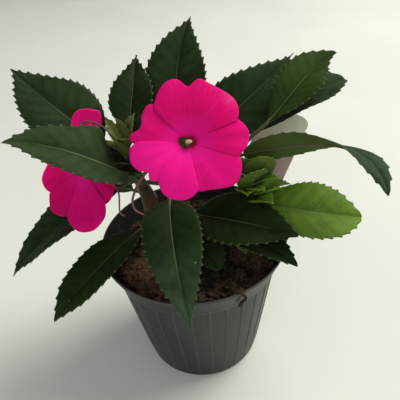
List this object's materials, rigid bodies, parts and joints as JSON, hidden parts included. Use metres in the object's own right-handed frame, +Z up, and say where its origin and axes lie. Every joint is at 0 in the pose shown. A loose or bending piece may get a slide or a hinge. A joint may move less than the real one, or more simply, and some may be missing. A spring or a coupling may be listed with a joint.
{
  "type": "potted flowering plant",
  "caption": "New Guinea impatiens with toothed dark leaves and magenta flowers, rooted in peat in a ribbed tapered grower's pot with a plain plant label",
  "frame": {"origin": "middle of the pot's underside, on the ground", "axes": "+Z up along the pot's axis; the open flowering side looks along -Y; +X to the viewer's right"},
  "size_m": [0.2171, 0.1528, 0.2184],
  "materials": {
    "pot_plastic": "satin charcoal polypropylene",
    "peat": "loose damp peat",
    "label_plastic": "satin sheet",
    "leaf": "waxy dark green",
    "leaf_mid": "waxy green",
    "leaf_young": "waxy light green",
    "stem": "smooth coppery brown",
    "stalk_green": "smooth",
    "spur": "smooth",
    "anther": "matte",
    "petal": "velvety"
  },
  "bodies": {
    "root": {"bloom_front_anther": "anther", "bloom_front_column": "stalk_green", "bloom_front_petals": "petal", "bloom_front_spur": "spur", "bloom_front_stalk": "stalk_green", "bloom_left_anther": "anther", "bloom_left_column": "stalk_green", "bloom_left_petals": "petal", "bloom_left_spur": "spur", "bloom_left_stalk": "stalk_green", "leaf_back_left": "leaf", "leaf_back_middle": "leaf", "leaf_back_right": "leaf", "leaf_back_small": "leaf", "leaf_front": "leaf", "leaf_front_left": "leaf", "leaf_front_right": "leaf", "leaf_left_back": "leaf", "leaf_left_front": "leaf", "leaf_left_inner": "leaf", "leaf_left_low": "leaf", "leaf_right_back": "leaf", "leaf_right_long": "leaf_mid", "leaf_right_low": "leaf_young", "leaf_right_upper": "leaf_mid", "leaf_rim_right": "leaf", "leaf_under_front": "leaf", "leaf_under_right": "leaf_young", "peat_strand": "peat", "plant_label": "label_plastic", "pot": "pot_plastic", "shoot_left_1": "leaf_young", "shoot_left_2": "leaf_young", "shoot_right_1": "leaf_young", "shoot_right_2": "leaf", "soil": "peat", "stem_left": "stem", "stem_middle": "stem", "stem_right": "stem"}
  },
  "joints": []
}
